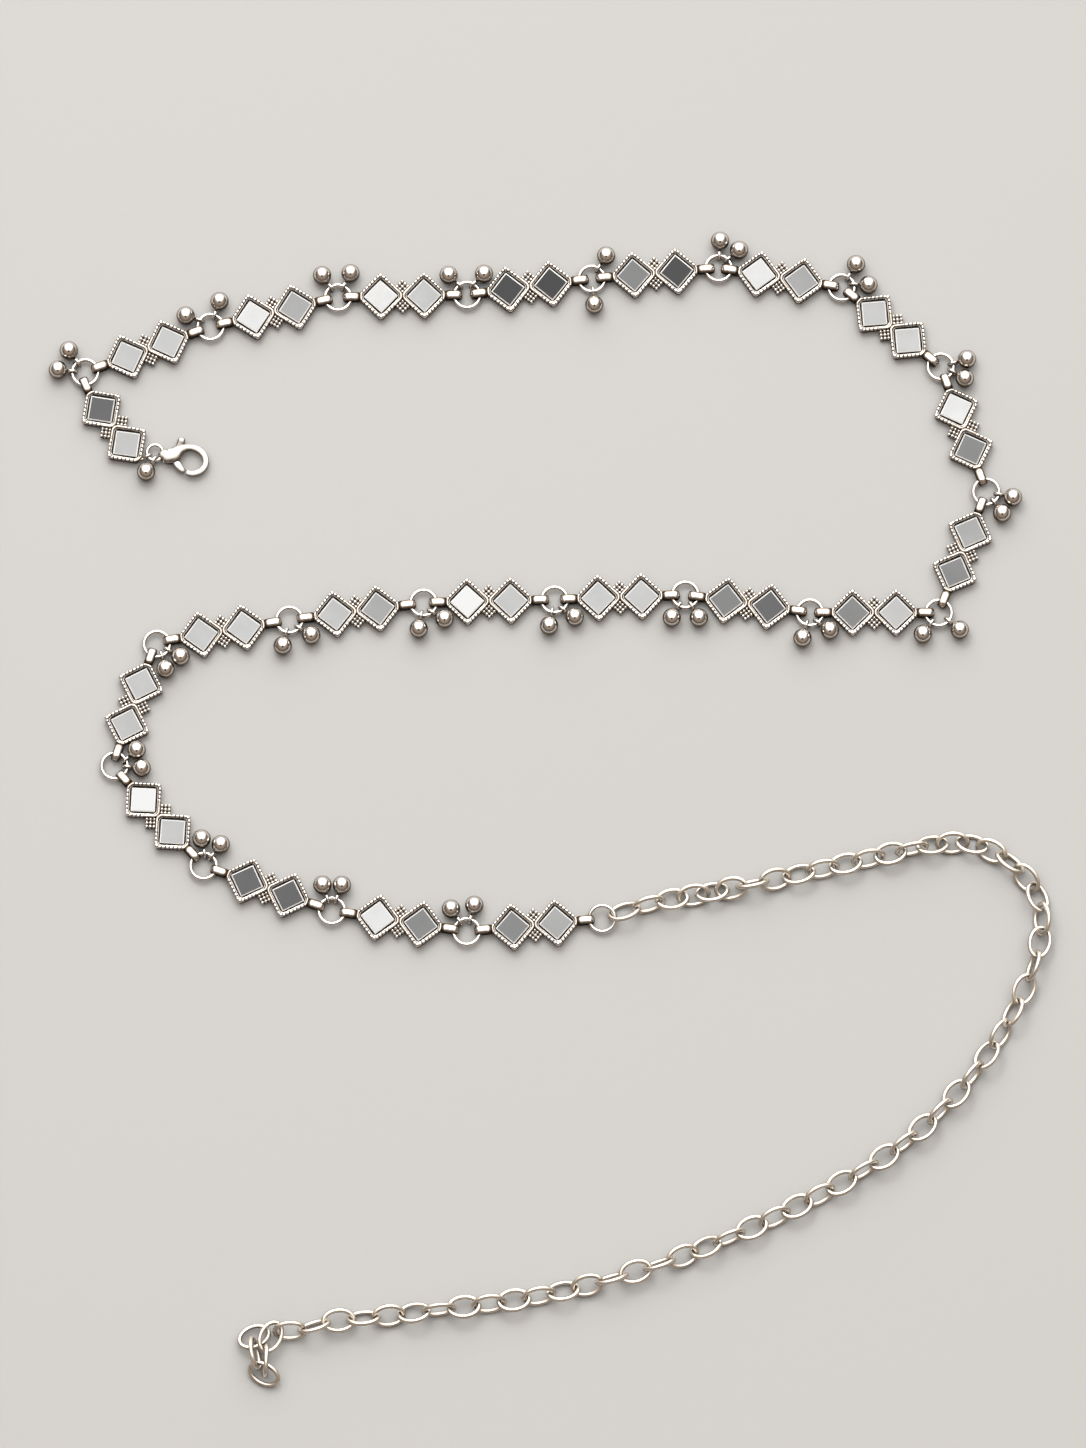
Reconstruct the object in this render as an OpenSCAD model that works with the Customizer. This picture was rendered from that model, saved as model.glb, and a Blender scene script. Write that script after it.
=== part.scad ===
// Waist chain, laid out flat in curves: cast plaques with two small mirrors,
// joined by rings that carry ball bells, a lobster clasp on one end and an
// extension chain of oval links on the other.
// Millimetres, +Z up, everything rests on z = 0, origin at the middle of the
// laid-out jewel.

/* [Plaques] */
// Distance between the two mirror centres
mirror_pitch = 10.8; // [10.76:0.02:10.84]
// Side of the square frame round one mirror
frame_side = 8.6; // [8.56:0.02:8.64]
// Side of a mirror
mirror_side = 5.86; // [5.6:0.02:5.9]
// Thickness of a mirror
mirror_t = 0.5; // [0.4:0.05:0.55]
// Thickness of the base plate, on which the mirrors sit
seat_z = 1.2; // [1.1:0.05:1.25]
// Height of the frame wall
wall_z = 2.0; // [1.9:0.05:2.05]
// Diameter of a bead of the rope edge
rope_d = 0.72; // [0.68:0.02:0.76]
// Diameter of a grain of the clusters
grain_d = 0.86; // [0.82:0.02:0.92]

/* [Rings and bells] */
// Mean diameter of a connector ring
ring_d = 6.4; // [6.38:0.01:6.42]
// Wire of the connector rings
ring_wire = 1.0; // [0.9:0.02:1.0]
// Diameter of a ball bell
ball_d = 4.6; // [4.4:0.05:4.6]
// Wire of a bell's loop
loop_wire = 0.76; // [0.7:0.02:0.76]

/* [Extension chain] */
// Outer length of an oval link
link_length = 8.5; // [8.46:0.02:8.52]
// Outer width of an oval link
link_width = 6.0; // [5.96:0.02:6.04]
// Wire of the links
link_wire = 1.0; // [0.9:0.02:1.0]

/* [Clasp] */
// Full thickness of the clasp body
clasp_t = 2.9; // [2.8:0.05:2.9]
// Thickness of the lever plate
lever_t = 1.1; // [0.9:0.05:1.1]
// Diameter of the pin that the lever turns on
pin_d = 0.8; // [0.7:0.02:0.8]

/* [Hidden] */
$fn = 48;
round_fn = 32;
bead_fn = 24;
corner = 1 / sqrt(2);

// How far soldered shapes run into each other
overlap = 0.1;

// Places: layout grid steps of a quarter millimetre, right and down
grid = 0.25;
sheet_mid = [548.7, 807.9];
function spot(x, y) = [(x - sheet_mid[0]) * grid, (sheet_mid[1] - y) * grid];
function turn(v) = atan2(v[1], v[0]);
function polar(r, a) = [r * cos(a), r * sin(a)];

// Value of hand-set rows [key, ...] at key t, on a smooth curve through them
function span(rows, t, k = 0) =
    k + 2 < len(rows) && rows[k + 1][0] <= t ? span(rows, t, k + 1) : k;
function slope(rows, k) =
    let (a = max(k - 1, 0), b = min(k + 1, len(rows) - 1))
    (rows[b] - rows[a]) / (rows[b][0] - rows[a][0]);
function along(rows, t) =
    let (k = span(rows, t), h = rows[k + 1][0] - rows[k][0], s = (t - rows[k][0]) / h)
    rows[k] * (2 * pow(s, 3) - 3 * s * s + 1)
    + slope(rows, k) * h * (pow(s, 3) - 2 * s * s + s)
    + rows[k + 1] * (3 * s * s - 2 * pow(s, 3))
    + slope(rows, k + 1) * h * (pow(s, 3) - s * s);

// Connector rings: x, y, then hook angle and swing of the two bells
ring_rows = [
    [86.9, 369.2, 126.8, 0, 175.8, 0],
    [211.5, 323.0, 149, 14, 70.5, 0],
    [338.6, 293.0, 125.8, 0, 62.5, 0],
    [467.4, 290.5, 129, 8, 59.5, -16],
    [591.7, 274.0, 57.9, 0, -84.7, 0],
    [718.3, 263.0, 86.9, 0, 43, -4],
    [841.0, 282.8, 58, 0, 12, -15],
    [939.3, 363.5, 15, 0, -24, -7],
    [983.9, 490.5, -13, 0, -55, 0],
    [936.0, 613.0, -126.4, 0, -40.4, 0],
    [808.0, 612.8, -106.1, 0, -51, 16],
    [684.4, 594.8, -120, 0, -60.4, 0],
    [554.5, 599.8, -101.4, 0, -49, 14],
    [424.4, 602.9, -99.9, 0, -48, 18],
    [291.3, 620.2, -103.7, 0, -40, 8],
    [158.6, 643.0, -29, 0, -67, -8],
    [116.7, 767.5, 28.8, 13, -5.4, 0],
    [207.3, 867.5, 86, 16, 50, 2],
    [334.3, 912.4, 110, 0, 68.5, 0],
    [467.6, 933.2, 124.8, 0, 73.8, 0]
];
// Rings that lie off the line of their plaques, pulled by their bells
ring_slip = [[15, -48], [16, 11.5]];
slip_by = 0.5;
ring_z = 1.4;
function ring_spot(i) =
    let (s = search(i, ring_slip)) spot(ring_rows[i][0], ring_rows[i][1])
    + (len(s) > 0 ? polar(slip_by, ring_slip[s[0]][1]) : [0, 0]);

chain_ring_spot = spot(601.6, 920.4);
// heading, tilt and rise of the ring that starts the extension chain
chain_ring_lie = [12, 9, 5];

// Plaques: middle and heading, each between two rings
first_spot = spot(116, 424.5);
first_heading = -54;
function ring_seat(i) =
    i < len(ring_rows) ? spot(ring_rows[i][0], ring_rows[i][1]) : chain_ring_spot;
function plaque_spot(i) = i == 0 ? first_spot : (ring_seat(i - 1) + ring_seat(i)) / 2;
function plaque_heading(i) = i == 0 ? first_heading : turn(ring_seat(i) - ring_seat(i - 1));
// how each plaque's two mirrors lean, in degrees
mirror_lean = [
    [-2, 2], [2, 2], [4, 1], [4, 2], [-4, -4], [0, -4], [4, 1], [2, 2], [4, 0], [1, 0], [2, 0],
    [-2, 0], [2, 2], [2, 4], [1, 2], [2, 2], [2, 2], [4, 2], [-2, -2], [4, 0], [0, 1]
];

// Sizes of the plaque
wall_t = 0.62;
// Where the corners of a frame are cut off: outwards, across, and in its opening
frame_end = 5.25;
frame_peak = 5.6;
opening_reach = 4.6;
rope_pitch = 1.0;
rope_line = frame_side / 2 - wall_t / 2;
rope_z = wall_z + 0.05;
rope_beads = 7;
corner_bead_d = 1.0;
corner_bead_y = 5.25;
corner_bead_z = wall_z - 0.1;
grain_pitch = 0.93;
grain_z = 1.38;
cluster_y = 2.5;
cluster_side = 3.1;
cluster_base_y = 2.5;
mirror_gap = 0.06;
mirror_bevel = 0.28;
bail_sink = 0.35;
bail_length = 4.6;
bail_root = mirror_pitch / 2 + frame_end - bail_sink;
bail_end = bail_root + bail_length;
bail_r = 1.35;
bail_wall = 0.45;
bail_w = 2.3;
bail_swing = -12;
eye_r = 1.0;
eye_wire = 0.7;
eye_spot = spot(149.7, 454.5);
eye_heading = 27;
eye_neck = 1.4;

// Sizes of the bells
loop_r = 1.15;
loop_z = 1.55;
loop_slack = 0.05;
ball_reach = 3.6;
neck_d = 1.1;

// Clasp: sizes in millimetres, places on the layout grid
clasp_z = clasp_t / 2;
pin_spot = spot(175, 455);
clasp_ring_r = 2.0;
clasp_ring_wire = 0.8;
clasp_ring_reach = 2.05;
clasp_ring_heading = 28;
clasp_ring_spot = eye_spot + polar(clasp_ring_reach, clasp_ring_heading);
clasp_bell = [262, -24];
tail_bore_d = 1.5;
pin_sink = 0.35;
loft_per = 2;
loft_sides = 12;
slot_h = 1.3;
lever_play = 0.05;

// Body: step, x, y, half width, half height; tail, belly, bow, hook tip
body_rows = [
    [0, 159.9, 452.3, 0.25, 0.3],
    [1, 161.4, 452.2, 0.75, 0.9],
    [2, 165.0, 452.4, 1.2, 1.15],
    [3, 170.0, 454.2, 1.95, 1.4],
    [4, 175.2, 453.9, 2.3, 1.45],
    [5, 180.8, 450.6, 1.65, 1.4],
    [6, 185.6, 447.6, 1.0, 1.1],
    [7, 190.6, 446.0, 0.80, 0.85],
    [8, 196.8, 446.6, 0.80, 0.78],
    [9, 203.0, 450.0, 0.78, 0.75],
    [10, 207.0, 455.9, 0.76, 0.72],
    [11, 207.2, 463.3, 0.75, 0.70],
    [12, 203.0, 469.2, 0.73, 0.68],
    [13, 196.8, 472.0, 0.70, 0.66],
    [14, 192.2, 472.0, 0.65, 0.64],
    [15, 188.9, 470.9, 0.56, 0.56],
    [16, 187.9, 470.5, 0.42, 0.42]
];
// Gate of the lever, in the same columns
gate_rows = [
    [0, 179.4, 461.0, 0.4, 0.4],
    [1, 180.0, 461.9, 0.86, 0.62],
    [2, 182.2, 464.9, 0.84, 0.68],
    [3, 184.8, 467.9, 0.66, 0.64],
    [4, 186.2, 469.4, 0.5, 0.52],
    [5, 186.6, 469.9, 0.36, 0.38]
];
// Lever plate, millimetres from the pin: web to the gate, hub, arm, thumb tab
lever_outline = [
    [1.85, -2.65], [0.8, -1.95], [0.1, -0.95], [-0.54, -0.66], [-0.95, 0], [-0.6, 0.74],
    [0.2, 1.5], [0.7, 2.8], [1.0, 3.7], [1.3, 4.4], [1.72, 4.8], [2.2, 4.92], [2.65, 4.72],
    [2.95, 4.3], [3.0, 3.7], [2.85, 3.15], [2.35, 2.9], [1.95, 2.3], [1.1, 1.0], [0.93, 0.2],
    [0.9, -0.4], [1.4, -1.2], [2.0, -1.9]
];
tab_d = 1.7;
tab_t = 1.7;
tab_at = [2.05, 4.0];
// Slot that the lever swings in, round the pin
slot_reach = 4.0;
slot_hub = 1.2;
slot_outline = [
    polar(slot_reach, -78), polar(slot_hub, -100), polar(slot_hub, 180), polar(slot_hub, 130),
    polar(slot_reach, 112), polar(slot_reach, 45), polar(slot_hub, 25), polar(slot_hub, -1),
    polar(slot_reach, -1)
];

// Extension chain: joint number, x, y of a smooth route
route = [
    [0, 611.2, 917], [2, 659.6, 903.5], [3, 682.5, 898.7], [6, 739, 888.5], [10, 831, 868.5],
    [13, 897.5, 853.5], [16, 958, 844], [18, 996, 857.5], [19.9, 1027, 887], [21.8, 1037, 928],
    [24.85, 1014.5, 1000], [28.9, 960, 1085], [33, 889, 1152], [38, 782, 1213], [43, 669, 1261],
    [48, 551, 1294], [53, 428.5, 1311.5], [57, 330, 1321.9]
];
// How far each link rolls off flat, in tens of degrees, side by side in turn
roll_chart = "4623327335251733335335172553717171715151733717335151733517";
link_a = (link_length - link_wire) / 2;
link_b = (link_width - link_wire) / 2;
first_joint_z = 1.9;
last_link = 57;
function roll(i) = (i % 2 == 0 ? 10 : -10) * (ord(roll_chart[i - 1]) - ord("0"));
function rest(i) = link_wire / 2 + link_b * abs(sin(roll(i)));
function joint(k) =
    let (p = along(route, k), s = spot(p[1], p[2]))
    [s[0], s[1], k == 0 ? first_joint_z : max(rest(k), rest(k + 1))];
// place of a link: x, y, z, heading, pitch, roll
function link_lie(i) =
    let (p = joint(i - 1), q = joint(i), d = q - p)
    concat((p + q) / 2, turn(d), asin(d[2] / norm(d)), roll(i));

// Shapes
module diamond(side) {
    rotate(45) square(side, center = true);
}
// The same with its corners cut off, at out on the +x side and at peak on the others
module blunt_diamond(side, out, peak) {
    intersection() {
        diamond(side);
        translate([-peak, -peak]) square([peak + out, 2 * peak]);
    }
}

// Flat band loop that stands on edge, its inside open along y
module bail2d(x0, x1, r) {
    translate([x1 - r, 0]) circle(r, $fn = round_fn);
    translate([x0 + r, 0]) circle(r, $fn = round_fn);
    translate([x0 + r, -r]) square([x1 - x0 - 2 * r, 2 * r]);
}
module bail(swing = 0) {
    tip = bail_root + bail_sink;
    translate([tip, 0, ring_z]) rotate(swing) translate([-tip, 0, 0]) rotate([90, 0, 0])
        linear_extrude(bail_w, center = true) difference() {
            bail2d(bail_root, bail_end, bail_r);
            bail2d(bail_root + bail_wall, bail_end - bail_wall, bail_r - bail_wall);
        }
}

module torus(r, wire) {
    rotate_extrude() translate([r, 0]) circle(wire / 2, $fn = round_fn);
}

// Rope edge of one frame: beads on the four sides, larger ones on two corners
module rope() {
    for (q = [0:3], k = [0:rope_beads - 1])
        rotate(45 + 90 * q) translate([rope_line, (k - (rope_beads - 1) / 2) * rope_pitch, rope_z])
            sphere(d = rope_d, $fn = bead_fn);
    for (s = [-1, 1])
        translate([0, s * corner_bead_y, corner_bead_z])
            sphere(d = corner_bead_d, $fn = bead_fn);
}

// Cluster of nine grains in a square set on its corner
module cluster() {
    translate([0, cluster_base_y, 0]) linear_extrude(seat_z) diamond(cluster_side);
    for (i = [-1:1], j = [-1:1])
        translate([0, cluster_y, grain_z]) rotate(45)
            translate([i * grain_pitch, j * grain_pitch, 0]) sphere(d = grain_d, $fn = bead_fn);
}

// One frame with its cluster: half of the plaque, the outer corner on +x
module half_plaque() {
    translate([mirror_pitch / 2, 0, 0]) {
        linear_extrude(seat_z) blunt_diamond(frame_side, frame_end, frame_peak);
        linear_extrude(wall_z) difference() {
            blunt_diamond(frame_side, frame_end, frame_peak);
            blunt_diamond(frame_side - 2 * wall_t, opening_reach, opening_reach);
        }
        rope();
    }
    cluster();
}
module plaque_body() {
    half_plaque();
    rotate(180) half_plaque();
}

// Wire eye soldered to the free corner of the first plaque
module end_eye() {
    translate([eye_spot[0], eye_spot[1], ring_z]) rotate(eye_heading) {
        rotate([90, 0, 0]) torus(eye_r, eye_wire);
        translate([-eye_r - eye_neck / 2 - overlap, 0, 0]) rotate([0, 90, 0])
            cylinder(h = eye_neck, d = eye_wire, center = true, $fn = round_fn);
    }
}

module plaque(i) {
    p = plaque_spot(i);
    color("silver") {
        translate([p[0], p[1], 0]) rotate(plaque_heading(i)) {
            plaque_body();
            rotate(180) bail(i == 0 ? bail_swing : 0);
            if (i > 0) bail();
        }
        if (i == 0) end_eye();
    }
}

// One mirror, a square with a bevelled upper edge, set on its corner
module mirror_glass() {
    r = mirror_side * corner;
    t = mirror_t - mirror_bevel * corner;
    tier = [[r, -mirror_t / 2], [r, t - mirror_t / 2], [r - mirror_bevel / corner, mirror_t / 2]];
    polyhedron(
        [for (k = tier, q = [0:3]) [k[0] * cos(90 * q), k[0] * sin(90 * q), k[1]]],
        concat(
            [[0, 1, 2, 3], [11, 10, 9, 8]],
            [for (k = [0, 4], q = [0:3]) [k + q, k + 4 + q, k + 4 + (q + 1) % 4, k + (q + 1) % 4]]
        )
    );
}
module mirror_pair(i) {
    p = plaque_spot(i);
    for (side = [0, 1]) {
        lean = mirror_lean[i][side];
        rise = mirror_side * corner * sin(abs(lean));
        c = p + polar((side - 0.5) * mirror_pitch, plaque_heading(i));
        translate([c[0], c[1], seat_z + mirror_gap + mirror_t / 2 + rise])
            rotate([-lean, 0, 0]) rotate(plaque_heading(i)) mirror_glass();
    }
}
module mirrors(first, last) {
    color("white") for (i = [first:last]) mirror_pair(i);
}

module ring(i) {
    p = ring_spot(i);
    color("silver") translate([p[0], p[1], ring_z]) torus(ring_d / 2, ring_wire);
}

// Ball bell with its loop, hooked on a ring at an angle and swung from there
module bell(centre, hook_r, hook, swing) {
    c = centre + polar(hook_r, hook);
    rise = ball_d / 2 - loop_z;
    out = sqrt(ball_reach * ball_reach - rise * rise);
    neck = (ball_reach - ball_d / 2 + overlap) / ball_reach;
    translate([c[0], c[1], 0]) rotate(hook + swing) {
        translate([0, 0, loop_z]) rotate([90, 0, 0]) torus(loop_r, loop_wire);
        translate([out * neck, 0, loop_z + rise * neck]) sphere(d = neck_d, $fn = round_fn);
        translate([out, 0, ball_d / 2]) sphere(d = ball_d);
    }
}
module bell_pair(i) {
    row = ring_rows[i];
    for (k = [2, 4]) bell(ring_spot(i), ring_d / 2 + loop_slack, row[k], row[k + 1]);
}
module bells_upper() {
    color("silver") {
        bell(clasp_ring_spot, clasp_ring_r + loop_slack, clasp_bell[0], clasp_bell[1]);
        for (i = [0:9]) bell_pair(i);
    }
}
module bells_lower() {
    color("silver") for (i = [10:19]) bell_pair(i);
}

// Tube of oval section along smooth rows [step, x, y, half width, half height]
module loft(rows) {
    per = loft_per;
    sides = loft_sides;
    n = (len(rows) - 1) * per;
    at = [for (k = [0:n]) let (r = along(rows, k / per), s = spot(r[1], r[2])) [s, r[3], r[4]]];
    pts = [for (k = [0:n]) let (d = at[min(k + 1, n)][0] - at[max(k - 1, 0)][0], u = d / norm(d))
        for (j = [0:sides - 1]) let (w = at[k][1] * cos(360 * j / sides))
        [at[k][0][0] - u[1] * w, at[k][0][1] + u[0] * w, at[k][2] * sin(360 * j / sides)]];
    polyhedron(pts, concat(
        [[for (j = [0:sides - 1]) j], [for (j = [0:sides - 1]) n * sides + sides - 1 - j]],
        [for (k = [0:n - 1], j = [0:sides - 1]) let (a = k * sides, b = (j + 1) % sides)
            [a + j, a + sides + j, a + sides + b, a + b]]
    ));
}

module clasp_body() {
    color("silver") translate([0, 0, clasp_z]) {
        difference() {
            loft(body_rows);
            translate([clasp_ring_spot[0] + clasp_ring_r, clasp_ring_spot[1], 0])
                rotate([90, 0, 0]) cylinder(h = 2 * clasp_t, d = tail_bore_d, center = true, $fn = round_fn);
            translate([pin_spot[0], pin_spot[1], -slot_h / 2])
                linear_extrude(slot_h) polygon(slot_outline);
        }
        translate([pin_spot[0], pin_spot[1], 0])
            cylinder(h = clasp_t - 2 * pin_sink, d = pin_d, center = true, $fn = round_fn);
    }
}

module clasp_lever() {
    color("silver") translate([0, 0, clasp_z]) {
        difference() {
            translate([pin_spot[0], pin_spot[1], -lever_t / 2]) {
                linear_extrude(lever_t) polygon(lever_outline);
                translate([tab_at[0], tab_at[1], (lever_t - tab_t) / 2])
                    cylinder(h = tab_t, d = tab_d, $fn = round_fn);
            }
            translate([pin_spot[0], pin_spot[1], 0])
                cylinder(h = clasp_t, d = pin_d + 2 * lever_play, center = true, $fn = round_fn);
        }
        loft(gate_rows);
    }
}

module clasp_ring() {
    color("silver") translate([clasp_ring_spot[0], clasp_ring_spot[1], ring_z])
        torus(clasp_ring_r, clasp_ring_wire);
}

module chain_ring() {
    lie = chain_ring_lie;
    color("silver")
        translate([chain_ring_spot[0], chain_ring_spot[1], ring_z + ring_d / 2 * sin(lie[2])])
            rotate(lie[0]) rotate([0, -lie[2], 0]) rotate([lie[1], 0, 0]) torus(ring_d / 2, ring_wire);
}

// Oval link of round wire, its long axis on x
link_steps = 16;
link_sides = 5;
module link() {
    n = link_steps;
    m = link_sides;
    pts = [for (i = [0:n - 1]) let (t = 360 * i / n, v = [link_b * cos(t), link_a * sin(t)], q = v / norm(v))
        for (j = [0:m - 1]) let (w = link_wire / 2 * cos(360 * j / m))
        [link_a * cos(t) + q[0] * w, link_b * sin(t) + q[1] * w, link_wire / 2 * sin(360 * j / m)]];
    polyhedron(pts, [for (i = [0:n - 1], j = [0:m - 1]) let (a = i * m, b = (i + 1) % n * m, c = (j + 1) % m)
        [a + j, a + c, b + c, b + j]]);
}
module lay_link(lie) {
    translate([lie[0], lie[1], lie[2]]) rotate(lie[3]) rotate([0, -lie[4], 0])
        rotate([lie[5], 0, 0]) link();
}
module chain(first, last) {
    color("silver") for (i = [first:last]) lay_link(link_lie(i));
}

// Heap at the free end: grid x, y, then z, heading, pitch, roll
heap_rows = [
    [318.6, 1326.4, 2.81, 17, 0, -63],
    [294.6, 1330.8, 2.8, 2, 0, 48],
    [275.7, 1337.0, 3.07, 64, 0, 12],
    [270.9, 1360.8, 3.08, 87, 0, 94],
    [269.0, 1373.0, 1.9, -28, 0, 29],
    [260.2, 1353.3, 2.96, 101, 0, 72],
    [259.2, 1336.4, 1.78, 23, 0, -9]
];
module chain_end() {
    chain(46, last_link);
    color("silver") for (r = heap_rows)
        lay_link(concat(spot(r[0], r[1]), [r[2], r[3], r[4], r[5]]));
}

plaque(0);  // plaque_01
plaque(1);  // plaque_02
plaque(2);  // plaque_03
plaque(3);  // plaque_04
plaque(4);  // plaque_05
plaque(5);  // plaque_06
plaque(6);  // plaque_07
plaque(7);  // plaque_08
plaque(8);  // plaque_09
plaque(9);  // plaque_10
plaque(10);  // plaque_11
plaque(11);  // plaque_12
plaque(12);  // plaque_13
plaque(13);  // plaque_14
plaque(14);  // plaque_15
plaque(15);  // plaque_16
plaque(16);  // plaque_17
plaque(17);  // plaque_18
plaque(18);  // plaque_19
plaque(19);  // plaque_20
plaque(20);  // plaque_21
ring(0);  // ring_01
ring(1);  // ring_02
ring(2);  // ring_03
ring(3);  // ring_04
ring(4);  // ring_05
ring(5);  // ring_06
ring(6);  // ring_07
ring(7);  // ring_08
ring(8);  // ring_09
ring(9);  // ring_10
ring(10);  // ring_11
ring(11);  // ring_12
ring(12);  // ring_13
ring(13);  // ring_14
ring(14);  // ring_15
ring(15);  // ring_16
ring(16);  // ring_17
ring(17);  // ring_18
ring(18);  // ring_19
ring(19);  // ring_20
mirrors(0, 9);  // mirrors_upper
mirrors(10, 20);  // mirrors_lower
bells_upper();
bells_lower();
clasp_body();
clasp_lever();
clasp_ring();
chain_ring();
chain(1, 15);  // chain_first
chain(16, 30);  // chain_second
chain(31, 45);  // chain_third
chain_end();
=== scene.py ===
"""Waist chain of cast plaques with mirrors, rings with ball bells, a clasp and a
long extension chain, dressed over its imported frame. Metres; tables are in
millimetres and are turned into metres where a mesh is made."""

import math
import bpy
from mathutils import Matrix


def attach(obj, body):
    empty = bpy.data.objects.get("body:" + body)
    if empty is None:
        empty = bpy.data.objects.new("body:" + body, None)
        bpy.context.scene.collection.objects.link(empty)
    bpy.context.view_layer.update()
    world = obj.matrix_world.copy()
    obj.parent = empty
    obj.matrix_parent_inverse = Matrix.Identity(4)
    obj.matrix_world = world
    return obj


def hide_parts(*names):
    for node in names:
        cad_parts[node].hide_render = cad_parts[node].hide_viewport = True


bl_info = {
    "name": "Waist Chain",
    "version": (1, 0, 0),
    "blender": (4, 5, 0),
    "location": "3D View > Sidebar > Waist Chain",
    "description": "Dresses the waist chain's frame with its cast, polished and mirrored pieces",
    "category": "Object",
}

import bpy
import numpy as np

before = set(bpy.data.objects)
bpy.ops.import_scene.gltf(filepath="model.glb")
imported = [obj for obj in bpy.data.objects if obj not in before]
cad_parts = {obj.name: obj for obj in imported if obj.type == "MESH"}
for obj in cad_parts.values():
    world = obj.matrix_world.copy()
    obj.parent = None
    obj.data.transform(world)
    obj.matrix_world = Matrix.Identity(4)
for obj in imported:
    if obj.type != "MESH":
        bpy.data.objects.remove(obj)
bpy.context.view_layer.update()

MM = 0.001
PLAQUES = [f"plaque_{i:02d}" for i in range(1, 22)]
RINGS = [f"ring_{i:02d}" for i in range(1, 21)]
CHAINS = ["chain_first", "chain_second", "chain_third", "chain_end"]
Z_UP = np.array([0.0, 0.0, 1.0])
# Turns a loop from flat to upright, by a quarter round x
ON_EDGE = np.array([[1, 0, 0], [0, 0, -1], [0, 1, 0]])


class WaistChainSizes(bpy.types.PropertyGroup):
    """Sizes of the detail that the dressing adds to the frame."""

    rope_width: bpy.props.FloatProperty(
        name="Rope width", description="Width of the rope edge round a mirror",
        default=0.78 * MM, unit="LENGTH")
    rope_pitch: bpy.props.FloatProperty(
        name="Rope pitch", description="Distance from bead to bead along the rope edge",
        default=1.0 * MM, unit="LENGTH")
    grain: bpy.props.FloatProperty(
        name="Grain", description="Diameter of a grain in the clusters",
        default=0.92 * MM, unit="LENGTH")
    link_wire: bpy.props.FloatProperty(
        name="Link wire", description="Wire of the extension chain's links",
        default=1.12 * MM, unit="LENGTH")
    ball: bpy.props.FloatProperty(
        name="Ball", description="Diameter of a ball bell", default=4.6 * MM, unit="LENGTH")
    camera_height: bpy.props.FloatProperty(
        name="Camera distance", description="Distance from the camera to the jewel",
        default=3.0, unit="LENGTH")
    camera_lean: bpy.props.FloatProperty(
        name="Camera lean", description="How far the camera leans back from straight above",
        default=math.radians(10.0), unit="ROTATION")


class WaistChainFinish(bpy.types.PropertyGroup):
    """Colours of the metal, the mirrors and the floor."""

    silver: bpy.props.FloatVectorProperty(
        name="Silver", description="Bright worn silver", subtype="COLOR",
        default=(0.93, 0.905, 0.87), min=0, max=1)
    # The warm tarnish also serves as painted shade down the sides of the metal, between the dark
    # undersides and the bright tops
    warm: bpy.props.FloatVectorProperty(
        name="Warm tarnish", description="Thin brown tarnish beside the worn places",
        subtype="COLOR", default=(0.46, 0.37, 0.29), min=0, max=1)
    # The dark tarnish is black oxide in the recesses and also painted shade on the undersides and
    # lower sides
    dark: bpy.props.FloatVectorProperty(
        name="Dark tarnish", description="Black oxide in the recesses", subtype="COLOR",
        default=(0.012, 0.010, 0.009), min=0, max=1)
    glass: bpy.props.FloatVectorProperty(
        name="Mirror", description="Silvering behind the mirrors", subtype="COLOR",
        default=(0.285, 0.288, 0.292), min=0, max=1)
    floor: bpy.props.FloatVectorProperty(
        name="Floor", description="Plain pale floor", subtype="COLOR",
        default=(0.45, 0.447, 0.44), min=0, max=1)


class Shape:
    """Points (n, 3) in millimetres, faces of four and of three, and a value for each point that
    picks its colour, from 0, dark, to 1, bright. It holds black oxide in the recesses and the worn
    tops, and also painted shade: low on sides, undersides and lower halves, high on the upper
    faces. A mirror holds its painted reflection tone instead, and 2 on its bevel."""

    def __init__(self, points, quads, tris=None, relief=1.0):
        self.points = np.asarray(points, float).reshape(-1, 3)
        self.quads = np.asarray(quads, int).reshape(-1, 4)
        self.tris = np.asarray([] if tris is None else tris, int).reshape(-1, 3)
        self.relief = np.broadcast_to(np.asarray(relief, float), (len(self.points),)).copy()

    def outward(self):
        """The same shape with its faces turned out: the signed volume under all of its
        triangles, a . (b x c) / 6 summed, is made positive."""
        t = np.concatenate([self.tris, self.quads[:, :3], self.quads[:, [0, 2, 3]]])
        a, b, c = (self.points[t[:, k]] for k in range(3))
        if np.einsum("ij,ij->", a, np.cross(b, c)) < 0:
            self.quads, self.tris = self.quads[:, ::-1], self.tris[:, ::-1]
        return self

    def moved(self, turn=np.eye(3), by=(0, 0, 0)):
        """The shape turned by a 3x3 matrix and then moved."""
        return Shape(self.points @ np.asarray(turn).T + np.asarray(by), self.quads, self.tris,
                     self.relief)


def join(shapes):
    """One shape out of several, their faces renumbered by the points before them."""
    starts = np.cumsum([0] + [len(s.points) for s in shapes[:-1]])
    return Shape(np.concatenate([s.points for s in shapes]),
                 np.concatenate([s.quads + k for s, k in zip(shapes, starts)]),
                 np.concatenate([s.tris + k for s, k in zip(shapes, starts)]),
                 np.concatenate([s.relief for s in shapes]))


def repeat(shape, turns, spots):
    """The shape at k places: each point is turned by its place's matrix (k, 3, 3) and
    moved to its spot (k, 3), all in one product."""
    spots = np.asarray(spots, float).reshape(-1, 3)
    turns = np.broadcast_to(np.asarray(turns, float), (len(spots), 3, 3))
    points = np.einsum("kab,nb->kna", turns, shape.points) + spots[:, None]
    step = (np.arange(len(spots)) * len(shape.points))[:, None, None]
    return Shape(points, shape.quads + step, shape.tris + step,
                 np.tile(shape.relief, len(spots)))


def turn_z(angle):
    """Matrix that turns about the upright axis, for one angle or an array of them."""
    a = np.asarray(angle, float)
    c, s, o = np.cos(a), np.sin(a), np.zeros_like(a)
    return np.moveaxis(np.array([[c, -s, o], [s, c, o], [o, o, o + 1]]), (0, 1), (-2, -1))


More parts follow.
